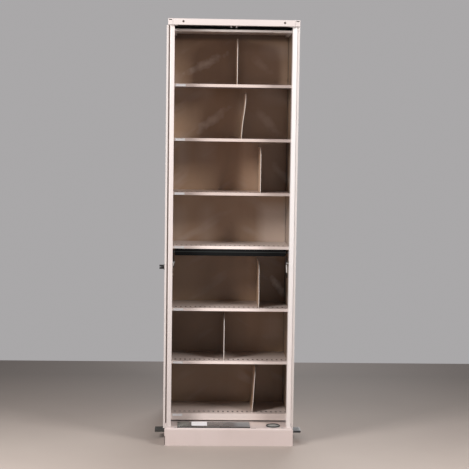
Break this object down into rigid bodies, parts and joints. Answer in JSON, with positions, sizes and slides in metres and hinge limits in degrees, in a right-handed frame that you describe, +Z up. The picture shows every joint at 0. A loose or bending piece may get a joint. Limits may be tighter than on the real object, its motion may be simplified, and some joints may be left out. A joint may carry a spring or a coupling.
{
  "type": "rotating file cabinet",
  "caption": "Tall two-sided rotating file cabinet: a shelved rotor on a turntable inside an open four-post steel housing, with foot release pedals and a lock knob.",
  "frame": {"origin": "on the floor, at the middle of the cabinet's footprint", "axes": "+Z up along the turntable's axis; X across the open end, with the pedals; Y along the cabinet, with the near open side at -Y"},
  "size_m": [0.754, 0.926, 2.134],
  "materials": {
    "beige_paint": "semi-gloss",
    "inner_paint": "semi-gloss",
    "black_paint": "semi-gloss",
    "dark_steel": "satin",
    "zinc": "satin",
    "chrome": "polished",
    "spring_steel": "satin",
    "black_plastic": "satin",
    "label_white": "satin"
  },
  "bodies": {
    "housing": {"base_end_near": "beige_paint", "base_end_far": "beige_paint", "base_side_left": "beige_paint", "base_side_right": "beige_paint", "base_deck": "beige_paint", "cross_members": "dark_steel", "leveling_feet": "zinc", "post_near_left": "beige_paint", "post_near_right": "beige_paint", "post_far_left": "beige_paint", "post_far_right": "beige_paint", "top_rail_near": "beige_paint", "top_rail_far": "beige_paint", "top_rail_left": "beige_paint", "top_rail_right": "beige_paint", "top_panel": "beige_paint", "top_channel": "dark_steel", "top_guide_bracket": "beige_paint", "mechanism_cover": "dark_steel", "deck_plug": "zinc", "king_pin": "zinc", "lower_race": "zinc", "latch_strikes": "zinc", "plunger_guide": "dark_steel", "plunger_spring": "spring_steel"},
    "bearing_cage": {"ball_cage": "zinc", "bearing_balls": "chrome"},
    "rotor": {"rotor_bottom_pan": "beige_paint", "rotor_top_pan": "beige_paint", "rotor_base_frame": "dark_steel", "upper_race": "zinc", "index_strikes": "zinc", "back_panel_near": "inner_paint", "back_panel_far": "inner_paint", "rotor_uprights": "dark_steel", "side_wall_left": "inner_paint", "side_wall_right": "inner_paint", "closing_panel_left": "beige_paint", "closing_panel_right": "beige_paint", "near_shelf_1": "beige_paint", "near_shelf_2": "beige_paint", "near_shelf_3": "beige_paint", "near_shelf_4": "beige_paint", "near_shelf_5": "beige_paint", "near_shelf_6": "beige_paint", "far_shelves": "beige_paint", "file_dividers": "beige_paint", "shelf_labels": "label_white", "lock_channel": "black_paint", "top_pivot_pin": "zinc"},
    "lock": {"lock_knob": "black_plastic", "lock_spindle": "zinc"},
    "latches": {"lock_rod": "zinc", "left_latch": "zinc", "right_latch": "zinc"},
    "treadle": {"pedal_left": "dark_steel", "pedal_right": "dark_steel", "treadle_shaft": "dark_steel", "release_lever": "dark_steel"},
    "plunger": {"release_plunger": "zinc"}
  },
  "joints": [
    {"name": "rotor_turn", "type": "hinge", "parent": "housing", "child": "rotor", "pos_m": [0, 0, 0.113], "axis": [0, 0, 1], "continuous": true},
    {"name": "cage_turn", "type": "hinge", "parent": "housing", "child": "bearing_cage", "pos_m": [0, 0, 0.101], "axis": [0, 0, 1], "continuous": true},
    {"name": "lock_turn", "type": "hinge", "parent": "rotor", "child": "lock", "pos_m": [-0.34, -0.275, 0.887], "axis": [1, 0, 0], "range_deg": [0, 90]},
    {"name": "latch_swing", "type": "hinge", "parent": "rotor", "child": "latches", "pos_m": [0, -0.275, 0.967], "axis": [1, 0, 0], "range_deg": [-36.6, 0]},
    {"name": "treadle_press", "type": "hinge", "parent": "housing", "child": "treadle", "pos_m": [0, -0.17, 0.05], "axis": [1, 0, 0], "range_deg": [0, 8], "stiffness_Nm_per_rad": 15, "springref_deg": -8.59},
    {"name": "plunger_slide", "type": "slide", "parent": "housing", "child": "plunger", "axis": [0, 0, 1], "range_m": [-0.0142, 0], "deforming": ["plunger_spring"]}
  ],
  "couplings": [
    {"joint": "cage_turn", "follows": "rotor_turn", "ratio": 0.5},
    {"joint": "latch_swing", "follows": "lock_turn", "ratio": -0.40456},
    {"joint": "plunger_slide", "follows": "treadle_press", "m_per_rad": -0.1}
  ]
}
